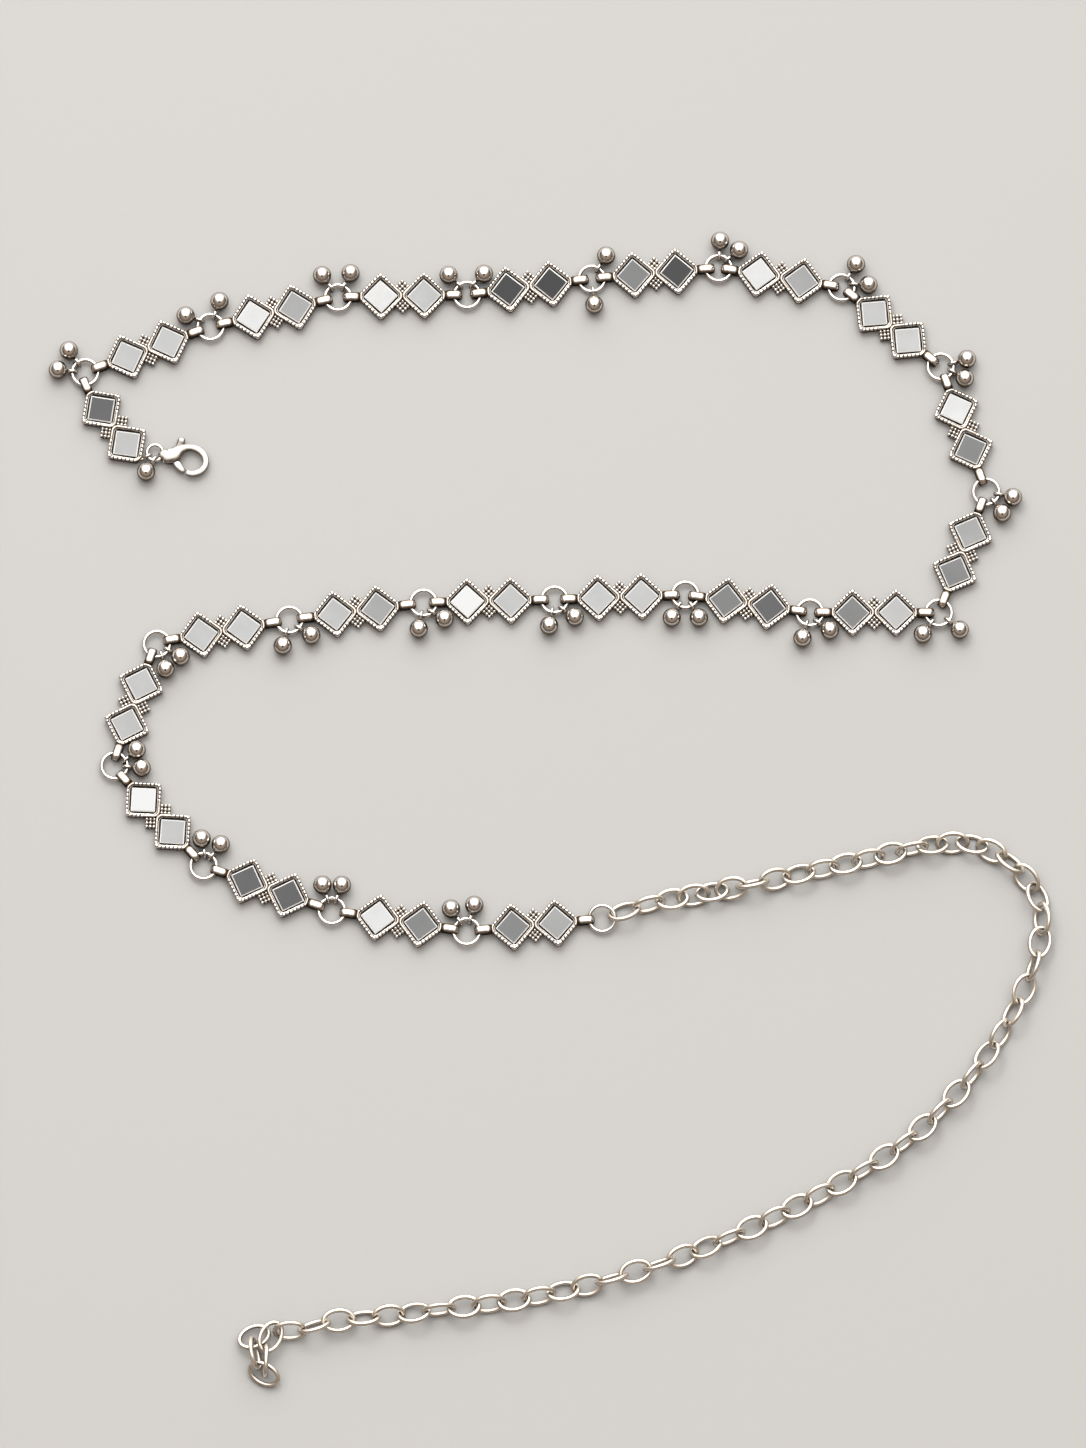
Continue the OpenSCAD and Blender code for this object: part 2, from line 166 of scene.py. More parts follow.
def grid_quads(rows, cols, round_rows=True):
    """Faces of a grid of rows x cols points. The columns close on themselves, and the rows
    too when they go round."""
    r = np.arange(rows if round_rows else rows - 1)[:, None]
    c = np.arange(cols)[None]
    r2, c2 = (r + 1) % rows, (c + 1) % cols
    faces = np.stack([r * cols + c, r2 * cols + c, r2 * cols + c2, r * cols + c2], -1)
    return faces.reshape(-1, 4)


def sweep(path, out, side, profile, relief):
    """Closed profile carried along a closed path: point = path + u * out + v * side, with
    the profile's (u, v) the same all along, (m, 2), or given for each step, (n, m, 2)."""
    profile = np.broadcast_to(profile, (len(path),) + np.shape(profile)[-2:])
    points = (path[:, None] + profile[..., :1] * out[:, None] + profile[..., 1:] * side[:, None])
    n, m = points.shape[:2]
    return Shape(points, grid_quads(n, m), None,
                 np.broadcast_to(relief, (n, m)).reshape(-1)).outward()


def circle(count, radius=1.0):
    """Count points of a circle, (radius cos t, radius sin t)."""
    t = np.arange(count) * 2 * np.pi / count
    return np.stack([radius * np.cos(t), radius * np.sin(t)], -1)


def oval(half_long, half_wide, wire, steps, sides, relief=1.0):
    """Loop of round wire in the xy plane: the profile circle is carried round the ellipse
    (half_long cos t, half_wide sin t) along its own outward direction and z."""
    t = np.arange(steps) * 2 * np.pi / steps
    path = np.stack([half_long * np.cos(t), half_wide * np.sin(t), 0 * t], -1)
    out = np.stack([half_wide * np.cos(t), half_long * np.sin(t), 0 * t], -1)
    out /= np.linalg.norm(out, axis=1)[:, None]
    return sweep(path, out, np.broadcast_to(Z_UP, path.shape), circle(sides, wire / 2), relief)


def bead(radii, around, bands, relief=None):
    """Ellipsoid: x, y = r sin b cos a, r sin b sin a and z = r cos b on a grid of angles a and b,
    closed by a point at each end. Unless a value is given, it carries painted shade: dark at the
    foot, bright at the top."""
    b = np.arange(1, bands) * np.pi / bands
    a = np.arange(around) * 2 * np.pi / around
    body = np.stack([np.sin(b)[:, None] * np.cos(a), np.sin(b)[:, None] * np.sin(a),
                     np.broadcast_to(np.cos(b)[:, None], (bands - 1, around))], -1).reshape(-1, 3)
    unit = np.concatenate([body, [[0, 0, 1], [0, 0, -1]]])
    top, foot, last = len(body), len(body) + 1, (bands - 2) * around
    k, k2 = np.arange(around), (np.arange(around) + 1) % around
    caps = np.concatenate([np.stack([np.full(around, top), k, k2], -1),
                           np.stack([np.full(around, foot), last + k2, last + k], -1)])
    # Painted shade by default: dark at the foot, bright at the top
    value = 0.5 + 0.5 * unit[:, 2] if relief is None else relief
    return Shape(unit * np.asarray(radii), grid_quads(bands - 1, around, round_rows=False), caps,
                 value).outward()


def diamond(side, out, peak, count, sharp=48):
    """Square set on its corner, its corners cut off, as count points at even steps along
    its length, with their outward directions. At the angle t the edge lies at
    (sum over k of (max(cos(t - t_k), 0) / d_k)^sharp)^(-1/sharp): the four sides stand at
    d = side, the cut on +x at out and the other three cuts at peak."""
    t = np.linspace(-np.pi, np.pi, 1441)
    facing = np.arange(8) * np.pi / 4
    d = np.array([out, side, peak, side, peak, side, peak, side])
    pull = (np.maximum(np.cos(t[:, None] - facing), 0) / d) ** sharp
    edge = pull.sum(axis=1)[:, None] ** (-1 / sharp) * np.stack([np.cos(t), np.sin(t)], -1)
    run = np.concatenate([[0], np.cumsum(np.linalg.norm(np.diff(edge, axis=0), axis=1))])
    s = np.arange(count) * run[-1] / count
    path = np.stack([np.interp(s, run, edge[:, 0]), np.interp(s, run, edge[:, 1]), 0 * s], -1)
    ahead = np.roll(path, -1, axis=0) - np.roll(path, 1, axis=0)
    ahead /= np.linalg.norm(ahead, axis=1)[:, None]
    return path, np.cross(ahead, Z_UP)


def capped(rings, relief):
    """Rings of points (n, m, 3) one after another, closed by a middle point at each end.
    relief holds one value for each ring."""
    n, m = rings.shape[:2]
    k, k2, last = np.arange(m), (np.arange(m) + 1) % m, (n - 1) * m
    middles = [rings[0].mean(axis=0), rings[-1].mean(axis=0)]
    points = np.concatenate([rings.reshape(-1, 3), middles])
    caps = np.concatenate([np.stack([np.full(m, n * m), k2, k], -1),
                           np.stack([np.full(m, n * m + 1), last + k, last + k2], -1)])
    return Shape(points, grid_quads(n, m, round_rows=False), caps,
                 np.concatenate([np.repeat(relief, m), [relief[0], relief[-1]]])).outward()


def stack(levels, count):
    """Cut diamonds one above another. levels: side, out, peak, z, relief."""
    rows = np.asarray(levels, float)
    return capped(np.array([diamond(a, b, c, count)[0] + Z_UP * z for a, b, c, z, _ in rows]),
                  rows[:, 4])


def rod(start, end, radius, sides=24):
    """Round rod from one point to another."""
    start, end = np.asarray(start, float), np.asarray(end, float)
    axis = (end - start) / np.linalg.norm(end - start)
    across = np.cross(axis, [0.6, 0.64, 0.48])
    across /= np.linalg.norm(across)
    ring = circle(sides, radius) @ np.array([across, np.cross(axis, across)])
    return capped(np.array([start + ring, end + ring]), np.array([0.5, 0.5]))


def loft(rows, span, per, sides, fullness, wall=0.0, cheek=False):
    """Tube along rows of x, y, half width, half height, from row span[0] to row span[1].
    Between the rows runs the cubic that meets each row with the slope from the row before to
    the row after. The section has an upright wall to z = b, the lesser of wall and 0.63 h, and
    over it (w |cos|^f, b + (h - b) |sin|^f), the same below. A cheek is only the part over
    z = wall."""
    rows = np.asarray(rows, float)
    t = np.linspace(*span, round((span[1] - span[0]) * per) + 1)
    k = np.minimum(t.astype(int), len(rows) - 2)
    s, slope = (t - k)[:, None], np.gradient(rows, axis=0)
    at = (rows[k] * (2 * s**3 - 3 * s**2 + 1) + slope[k] * (s**3 - 2 * s**2 + s)
          + rows[k + 1] * (3 * s**2 - 2 * s**3) + slope[k + 1] * (s**3 - s**2))
    ahead = (rows[k] - rows[k + 1]) * 6 * (s**2 - s) + slope[k] * (3 * s**2 - 4 * s + 1) + (
        slope[k + 1] * (3 * s**2 - 2 * s))
    path, ahead = at[:, :3] * [1, 1, 0], ahead[:, :3] * [1, 1, 0]
    side = np.cross(Z_UP, ahead / np.linalg.norm(ahead, axis=1)[:, None])
    ring = circle(sides)
    ring[np.abs(ring) < 1e-9] = 0
    ring = np.sign(ring) * np.abs(ring) ** fullness
    high = at[:, 3:4]
    if cheek:
        rise = wall + (high - wall) * np.maximum(ring[:, 1], 0)
    else:
        b = np.minimum(wall, 0.63 * high)
        rise = b * np.sign(ring[:, 1]) + (high - b) * ring[:, 1]
    return capped(path[:, None] + side[:, None] * (at[:, 2:3] * ring[:, 0])[..., None]
                  + Z_UP * rise[..., None], np.ones(len(at)))


def slab(levels):
    """Squares with sharp corners one above another. levels: half side, z, relief."""
    rows = np.asarray(levels, float)
    corner = np.array([[1, 0, 0], [0, 1, 0], [-1, 0, 0], [0, -1, 0.0]]) * math.sqrt(2)
    points = corner[None] * rows[:, :1, None] + Z_UP * rows[:, 1, None, None]
    last = 4 * (len(rows) - 1)
    ends = np.array([[3, 2, 1, 0], [last, last + 1, last + 2, last + 3]])
    return Shape(points, np.concatenate([grid_quads(len(rows), 4, round_rows=False), ends]), None,
                 np.repeat(rows[:, 2], 4)).outward()


def smooth(x, low, high):
    """0 below low, 1 above high and 3t^2 - 2t^3 between."""
    t = np.clip((x - low) / (high - low), 0, 1)
    return t * t * (3 - 2 * t)


def facing(shape):
    """Upward part of the normal at each point, 1 on top and 0 at the sides, from the sum of
    the normals, as long as their areas, of the triangles round the point. Triangles that
    stand upright count for nothing, so the edges of a flat top are as bright as the top."""
    tris = np.concatenate([shape.tris, shape.quads[:, :3], shape.quads[:, [0, 2, 3]]])
    a, b, c = (shape.points[tris[:, k]] for k in range(3))
    total = np.zeros_like(shape.points)
    normal = np.cross(b - a, c - a)
    normal[np.abs(normal[:, 2]) < 0.02 * np.linalg.norm(normal, axis=1)] = 0
    np.add.at(total, tris.ravel(), np.repeat(normal, 3, axis=0))
    return total[:, 2] / np.maximum(np.linalg.norm(total, axis=1), 1e-12)


def rubbed_and_shaded(shape, low, start, full):
    """The shape with its point values times a factor: low where it faces below start, 1 where it
    faces above full. Part of this is wear, metal that lies and hangs one way being rubbed bright
    on that side. The rest is painted shade on the sides and undersides and painted light on the
    upper faces."""
    shape.relief = shape.relief * (low + (1 - low) * smooth(facing(shape), start, full))
    return shape


def cad_mesh(node):
    """Merged points in millimetres and triangles of a CAD node."""
    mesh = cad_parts[node].data
    points = np.empty(len(mesh.vertices) * 3, np.float32)
    mesh.vertices.foreach_get("co", points)
    corners = np.empty(len(mesh.loops), np.int32)
    mesh.loops.foreach_get("vertex_index", corners)
    keys, index = np.unique(np.round(points.reshape(-1, 3) / MM, 3), axis=0, return_inverse=True)
    return keys, index.reshape(-1)[corners].reshape(-1, 3)


def solids(node):
    """Points of each loose solid of a CAD node: every point takes the lowest number among
    its faces' points, over and over, until nothing changes."""
    points, tris = cad_mesh(node)
    label = np.arange(len(points))
    while True:
        low = label.copy()
        np.minimum.at(low, tris.ravel(), np.repeat(label[tris].min(axis=1), 3))
        low = low[low]
        if (low == label).all():
            return [points[label == k] for k in np.unique(label)]
        label = low


def lie(points):
    """Middle of the box along a solid's own axes, and the axes as columns, longest first:
    the directions in which its points spread, from a singular value decomposition."""
    mid = points.mean(axis=0)
    axes = np.linalg.svd(points - mid, full_matrices=False)[2].T
    axes[:, 2] = np.cross(axes[:, 0], axes[:, 1])
    if axes[2, 2] < 0:
        axes[:, 1:] *= -1
    run = (points - mid) @ axes
    return mid + axes @ (run.min(axis=0) + run.max(axis=0)) / 2, axes


# Plaques, in millimetres round the plaque's middle, its long axis on x
MIRROR_SPOT = 5.4
# Line of the rope's middle: distance of the sides, of the cut on +x and of the other cuts
ROPE_LINE = (3.97, 4.92, 5.05)
ROPE_Z = 2.02
ROPE_STEPS, ROPE_SIDES = 232, 10
GRAIN_PITCH = 0.93
CLUSTER_Y = 2.5
GRAIN_Z = 1.38
CORNER_BEAD = (5.22, 2.06)
FRAME_STEPS = 96
BAIL = {"root": 10.30, "end": 14.90, "radius": 1.35, "wall": 0.45, "width": 2.3, "z": 1.4,
        "steps": 44}
FIRST_BAIL_SWING = math.radians(-12)
FIRST_EYE = {"at": (-99.75, 88.35, 1.4), "radius": 1.0, "wire": 0.7, "heading": math.radians(27),
             "neck": 1.5}


def rope_edge(width, pitch):
    """Rope round one frame: a tube along a cut diamond whose radius swells as
    (1 - w^4)^(1/2) over each bead, w from -1 to 1 along a side. It stays even across the cut
    on +x and near the crossing on -x."""
    path, out = diamond(*ROPE_LINE, ROPE_STEPS)
    quarter = np.floor(np.arctan2(path[:, 1], path[:, 0]) / (np.pi / 2))
    back = (quarter + 0.5) * np.pi / 2
    along = path[:, 1] * np.cos(back) - path[:, 0] * np.sin(back)
    angle = np.arange(ROPE_SIDES) * 2 * np.pi / ROPE_SIDES
    w = ((along[:, None] / pitch + 0.5 + 0.10 * np.sin(angle + 0.6)) % 1) * 2 - 1
    swell = np.sqrt(np.clip(1 - w**4, 0, 1))
    even = np.maximum(1 - smooth(np.hypot(path[:, 0] + ROPE_LINE[2], path[:, 1]), 2.6, 3.8),
                      smooth(path[:, 0], 4.55, 4.80))[:, None]
    swell = swell * (1 - even) + 0.86 * even
    radius = width / 2 * (0.40 + 0.60 * swell)
    profile = np.stack([radius * np.cos(angle), radius * np.sin(angle) * 1.1], -1)
    # Black oxide in the hollows between the beads, and painted shade on the rope's lower side
    relief = (0.03 + 0.97 * swell**2) * smooth(np.sin(angle), -0.55, 0.45)
    return sweep(path + Z_UP * ROPE_Z, out, np.broadcast_to(Z_UP, path.shape), profile, relief)


def bail_loop():
    """Band that stands on edge: a domed strip carried round a stadium in the xz plane, two
    half circles joined by straight runs, each step by an even length."""
    r = BAIL["radius"] - BAIL["wall"] / 2
    run = BAIL["end"] - BAIL["root"] - 2 * BAIL["radius"]
    s = np.arange(BAIL["steps"]) / BAIL["steps"] * 2 * (run + np.pi * r)
    half = s >= run + np.pi * r
    s = np.where(half, s - run - np.pi * r, s)
    bend = np.pi / 2 - np.clip((s - run) / r, 0, np.pi)
    x = -run / 2 + np.minimum(s, run) + r * np.cos(bend)
    z = r * np.sin(bend)
    flip = np.where(half, -1, 1)
    mid = (BAIL["root"] + BAIL["end"]) / 2
    path = np.stack([mid + flip * x, 0 * x, BAIL["z"] + flip * z], -1)
    out = np.stack([flip * np.cos(bend), 0 * x, flip * np.sin(bend)], -1)
    side = np.broadcast_to([0.0, 1.0, 0.0], path.shape)
    h, w = BAIL["wall"] / 2, BAIL["width"] / 2 - 0.06
    strip = np.array([[-h, -w + .1], [-h + .06, -w], [h - .30, -w], [h - .17, -w + .1],
                      [h - .05, -.72], [h + .04, -.38], [h + .07, 0], [h + .04, .38],
                      [h - .05, .72], [h - .17, w - .1], [h - .30, w], [-h + .06, w],
                      [-h, w - .1], [-h, 0]])
    # Painted light on the middle of the strip's domed face, and painted shade down its edges and
    # on its inner face
    relief = np.array([0, .1, .30, .42, .62, .95, 1, .95, .62, .42, .30, .1, 0, 0])
    # Painted shade: the band darkens towards its root, where it meets the frame
    relief = relief * (0.25 + 0.75 * smooth(path[:, :1], BAIL["root"] + 0.3, BAIL["root"] + 1.5))
    # Painted shade, too, wherever the band faces sideways or down
    return rubbed_and_shaded(sweep(path, out, side, strip, relief), 0.22, 0.0, 0.7)


def frame_box():
    """Tray of one mirror: base, outer wall, rounded rim and inner wall down to the seat. The
    columns are those of stack."""
    # The last column is black oxide in the groove and down the inner wall, and painted shade down
    # the outer wall, darkest at its foot
    return stack([
        [4.10, 5.05, 5.40, 0.00, 0.02], [4.24, 5.20, 5.55, 0.00, 0.06],
        [4.30, 5.25, 5.60, 0.10, 0.16], [4.30, 5.25, 5.60, 0.80, 0.30],
        [4.30, 5.25, 5.60, 1.50, 0.20], [4.26, 5.21, 5.56, 1.82, 0.10],
        [4.14, 5.09, 5.42, 1.95, 0.02], [3.70, 4.66, 4.90, 1.90, 0.03],
        [3.60, 4.56, 4.62, 1.88, 0.10], [3.55, 4.50, 4.54, 1.95, 0.85],
        [3.47, 4.42, 4.46, 1.93, 0.80], [3.43, 4.38, 4.42, 1.74, 0.10],
        [3.41, 4.36, 4.40, 1.24, 0.0], [3.25, 4.25, 4.25, 1.20, 0.0]], FRAME_STEPS)


def half_plaque(sizes, bail=True):
    """The half of a plaque on the +x side, with the cluster on +y. Turned by half a circle
    it is the other half."""
    grain = sizes.grain / MM
    i, j = (k.ravel() for k in np.meshgrid([-1, 0, 1], [-1, 0, 1]))
    c = GRAIN_PITCH / math.sqrt(2)
    grains = np.stack([(i - j) * c, CLUSTER_Y + (i + j) * c, 0 * i + GRAIN_Z], -1)
    outer = bead((grain / 2, grain / 2, grain / 2), 14, 10)
    # Painted shade from the middle of each grain down, with black oxide where the grains meet the
    # plate and each other
    outer.relief = smooth(outer.points[:, 2] / grain * 2, -0.15, 0.55)
    knob = bead((.66, .66, .60), 16, 10)
    # Painted shade below the knob's middle, with black oxide where it sits
    knob.relief = smooth(knob.points[:, 2] / 0.60, -0.1, 0.45)
    y, z = CORNER_BEAD
    parts = [
        frame_box().moved(by=(MIRROR_SPOT, 0, 0)),
        rope_edge(sizes.rope_width / MM, sizes.rope_pitch / MM).moved(by=(MIRROR_SPOT, 0, 0)),
        repeat(knob, np.eye(3), [[MIRROR_SPOT, y, z], [MIRROR_SPOT, -y, z]]),
        slab([[1.20, 0, 0.05], [1.24, .08, 0.2], [1.24, 1.1, .1], [1.14, 1.2, 0.0]]).moved(
            by=(0, CLUSTER_Y, 0)),
        repeat(outer, np.eye(3), grains),
    ]
    if bail:
        parts.append(bail_loop())
    return join(parts)


def first_eye():
    """Wire eye of the first plaque, upright, with its neck."""
    e = FIRST_EYE
    upright = turn_z(e["heading"]) @ ON_EDGE
    loop = oval(e["radius"], e["radius"], e["wire"], 32, 12, 0.9)
    neck = bead((e["neck"] / 2 + 0.3, e["wire"] / 2, e["wire"] / 2), 12, 8, 0.7)
    back = turn_z(e["heading"]) @ np.array([-e["radius"] - e["neck"] / 2 + 0.1, 0, 0])
    return join([loop.moved(upright, e["at"]),
                 neck.moved(turn_z(e["heading"]), np.array(e["at"]) + back)])


def ring_middle(name):
    """Middle of a ring's box."""
    points = cad_mesh(name)[0]
    return (points.min(axis=0) + points.max(axis=0)) / 2


def plaque_lie(name):
    """Middle and heading of a plaque: the mean and the long direction of the points of its
    underside, with the heading away from the ring before it."""
    points = cad_mesh(name)[0]
    foot = points[points[:, 2] < 0.01][:, :2]
    mid = foot.mean(axis=0)
    axis = np.linalg.svd(foot - mid, full_matrices=False)[2][0]
    before = ring_middle(RINGS[max(PLAQUES.index(name) - 1, 0)])[:2]
    if (mid - before) @ axis < 0:
        axis = -axis
    return mid, math.atan2(axis[1], axis[0])


class Wire:
    """A shader socket that can stand in a sum: each operator adds its Math node."""

    def __init__(self, paint, socket):
        self.paint = paint
        self.socket = socket

    def math(self, operation, *values):
        return self.paint.node("ShaderNodeMath", {"operation": operation}, dict(enumerate(values)))

    def __add__(self, other):
        return self.math("ADD", self, other)

    def __radd__(self, other):
        return self.math("ADD", other, self)

    def __sub__(self, other):
        return self.math("SUBTRACT", self, other)

    def __rsub__(self, other):
        return self.math("SUBTRACT", other, self)

    def __mul__(self, other):
        return self.math("MULTIPLY", self, other)

    def __truediv__(self, other):
        return self.math("DIVIDE", self, other)

    def __pow__(self, other):
        return self.math("POWER", self, other)

    def clamped(self):
        return self.paint.node("ShaderNodeClamp", {}, {"Value": self})


class Paint:
    """A node tree being filled. node() makes any node from its type, its settings, which
    are set first, and the values or links of its sockets, and gives one of its outputs."""

    def __init__(self, owner):
        owner.use_nodes = True
        self.tree = owner.node_tree
        self.tree.nodes.clear()

    def node(self, kind, settings, sockets, out=0):
        node = self.tree.nodes.new(kind)
        for key, value in settings.items():
            if key == "stops":
                ramp = node.color_ramp
                while len(ramp.elements) < len(value):
                    ramp.elements.new(0.5)
                for stop, (place, colour) in zip(ramp.elements, value):
                    stop.position = place
                    stop.color = (*colour, 1.0)
            else:
                setattr(node, key, value)
        for key, value in sockets.items():
            socket = node.inputs[key]
            if isinstance(value, Wire):
                self.tree.links.new(value.socket, socket)
            elif hasattr(value, "__len__") and len(value) == 3 and socket.type == "RGBA":
                socket.default_value = (*value, 1.0)
            else:
                socket.default_value = value
        return Wire(self, node.outputs[out])

    def place(self):
        return self.node("ShaderNodeTexCoord", {}, {}, "Object")

    def noise(self, size, detail, rough, distortion=0.0):
        """Cloudy noise whose lumps are about size millimetres across."""
        return self.node("ShaderNodeTexNoise", {}, {
            "Vector": self.place(), "Scale": 1 / (size * MM), "Detail": detail,
            "Roughness": rough, "Distortion": distortion}, "Fac")

    def mix(self, factor, a, b, blend="MIX"):
        return self.node("ShaderNodeMix", {"data_type": "RGBA", "blend_type": blend},
                         {"Factor": factor, 6: a, 7: b}, 2)

    def bump(self, height, depth, strength):
        return self.node("ShaderNodeBump", {}, {
            "Strength": strength, "Distance": depth * MM, "Height": height})

    def finish(self, shader):
        out = self.tree.nodes.new("ShaderNodeOutputMaterial")
        self.tree.links.new(shader.socket, out.inputs["Surface"])


def material(name):
    made = bpy.data.materials.new(name)
    return made, Paint(made)


# Reads the point value of oxide and wear, together with painted shade and painted light
def wear_and_light_value(paint):
    return paint.node("ShaderNodeAttribute", {"attribute_name": "relief"}, {}, "Fac")


def silver(name, finish, polish, tarnish, lump=1.2, scratch=0.35, dent=0.004, hue=(1, 1, 1)):
    """Worn silver, coloured by the point value: black where it is low, a brown fringe, and bright
    metal where it is high. Low values are black oxide in the recesses and painted shade on the
    sides and undersides. High values are the worn tops and painted light on the upper faces.
    polish is the roughness of the worn metal, tarnish how far the brown spreads and hue a factor
    on the bright metal's colour."""
    made, paint = material(name)
    relief = wear_and_light_value(paint)
    cloud = paint.noise(lump, 4.0, 0.6)
    fine = paint.noise(scratch, 3.0, 0.65, 0.4)
    # Oxide and wear together with painted shade and light, varied by cloudy and fine noise
    worn = (relief + (cloud - 0.5) * 0.50 * tarnish + (fine - 0.5) * 0.26 * tarnish).clamped()
    warm, bright = np.array(finish.warm), np.array(finish.silver) * hue
    tint = paint.node("ShaderNodeValToRGB", {"stops": [
        (0.0, tuple(finish.dark)), (0.26, tuple(warm * 0.07)), (0.46, tuple(warm * 0.45)),
        (0.63, tuple(warm * 0.9)), (0.79, tuple(0.3 * warm + 0.7 * bright)),
        (0.94, tuple(bright))]}, {"Fac": worn})
    stain = paint.mix((cloud * 0.45 * tarnish).clamped(), tint, tuple(finish.warm), "MULTIPLY")
    rough = (polish + (1 - worn) * 0.38 + (fine - 0.5) * 0.10).clamped()
    metal = (worn * 2.2 + 0.25).clamped()
    paint.finish(paint.node("ShaderNodeBsdfPrincipled", {}, {
        "Base Color": stain, "Metallic": metal, "Roughness": rough,
        "Normal": paint.bump(fine * 0.6 + cloud * 0.4, dent, 0.6)}))
    return made


def build_mesh(name, shape):
    """Mesh in metres from a shape in millimetres."""
    mesh = bpy.data.meshes.new(name)
    quads, tris = shape.quads, shape.tris
    corners = np.concatenate([quads.ravel(), tris.ravel()]).astype(np.int32)
    sizes = np.concatenate([np.full(len(quads), 4), np.full(len(tris), 3)]).astype(np.int32)
    starts = np.concatenate([[0], np.cumsum(sizes)[:-1]]).astype(np.int32)
    mesh.vertices.add(len(shape.points))
    mesh.vertices.foreach_set("co", (shape.points * MM).astype(np.float32).ravel())
    mesh.loops.add(len(corners))
    mesh.loops.foreach_set("vertex_index", corners)
    mesh.polygons.add(len(sizes))
    mesh.polygons.foreach_set("loop_start", starts)
    mesh.polygons.foreach_set("use_smooth", np.ones(len(sizes), bool))
    mesh.update(calc_edges=True)
    mesh.validate()
    return mesh


def carved(shape, knife):
    """The shape less the knife, all in triangles. It is worked out at one unit to the
    millimetre, where the solver is exact enough."""
    large = np.eye(3) / MM
    whole, blade = (bpy.data.objects.new("carving", build_mesh("carving", part.moved(large)))
                    for part in (shape, knife))
    for part in (whole, blade):
        bpy.context.scene.collection.objects.link(part)
    cut = whole.modifiers.new("Cut", "BOOLEAN")
    cut.operation, cut.solver, cut.object = "DIFFERENCE", "EXACT", blade
    whole.modifiers.new("Triangles", "TRIANGULATE")
    depsgraph = bpy.context.evaluated_depsgraph_get()
    mesh = bpy.data.meshes.new_from_object(whole.evaluated_get(depsgraph))
    points = np.empty(len(mesh.vertices) * 3, np.float32)
    mesh.vertices.foreach_get("co", points)
    corners = np.empty(len(mesh.loops), np.int32)
    mesh.loops.foreach_get("vertex_index", corners)
    for part in (whole, blade):
        bpy.data.objects.remove(part)
    if len(corners) == 0:
        raise RuntimeError("nothing is left of the carved shape")
    return Shape(points.reshape(-1, 3), np.zeros((0, 4)), corners)


def put(name, shape, skin, body, nodes, crease=None):
    """A mesh object from a shape, with its relief as a point attribute. It rides a body,
    takes a material slot and stands for its CAD nodes. Edges that bend by more than the
    crease, in degrees, are sharp."""
    mesh = build_mesh(name, shape)
    if crease is not None:
        mesh.set_sharp_from_angle(angle=math.radians(crease))
    mesh.attributes.new("relief", "FLOAT", "POINT").data.foreach_set(
        "value", shape.relief.astype(np.float32))
    made = bpy.data.objects.new(name, mesh)
    bpy.context.scene.collection.objects.link(made)
    made.data.materials.append(skin)
    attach(made, body)
    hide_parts(*nodes)
    return made


class WAIST_OT_plaques(bpy.types.Operator):
    """Cast plaques with rope edges, grain clusters and bails"""

    bl_idname = "waist.plaques"
    bl_label = "Plaques"

    def execute(self, context):
        sizes, finish = context.scene.waist_sizes, context.scene.waist_finish
        skin = silver("cast_silver", finish, 0.20, 1.0, 0.9, 0.25, 0.006)
        half, bare = half_plaque(sizes), half_plaque(sizes, bail=False)
        other = half.moved(turn_z(math.pi))
        for name in PLAQUES:
            mid, heading = plaque_lie(name)
            at = np.array([mid[0], mid[1], 0.0])
            if name == PLAQUES[0]:
                tip = np.array([BAIL["root"] + 0.35, 0, 0])
                swing = turn_z(FIRST_BAIL_SWING)
                bail = bail_loop().moved(swing, tip - swing @ tip)
                shape = join([bare, bare.moved(turn_z(math.pi)), bail.moved(turn_z(math.pi))])
                shape = join([shape.moved(turn_z(heading), at), first_eye()])
            else:
                shape = join([half, other]).moved(turn_z(heading), at)
            put(f"{name}_cast", shape, skin, "jewel", [name], crease=50)
        return {"FINISHED"}


# Painted reflection tone of each plaque's mirrors, from 0, charcoal, to 1, clear, standing for the
# greys that they reflect: first mirror, second mirror
PAINTED_MIRROR_REFLECTIONS = np.array([
    [.36, .80], [.80, .82], [.95, .68], [.95, .80], [.18, .16], [.50, .20], [.95, .68],
    [.80, .84], [.95, .52], [.68, .52], [.80, .52], [.36, .50], [.80, .84], [.80, 1.0],
    [.66, .80], [.84, .80], [.80, .78], [1.0, .80], [.36, .34], [.95, .52], [.52, .68]])
TABLET_HALF, TABLET_BEVEL = 2.99, 0.26


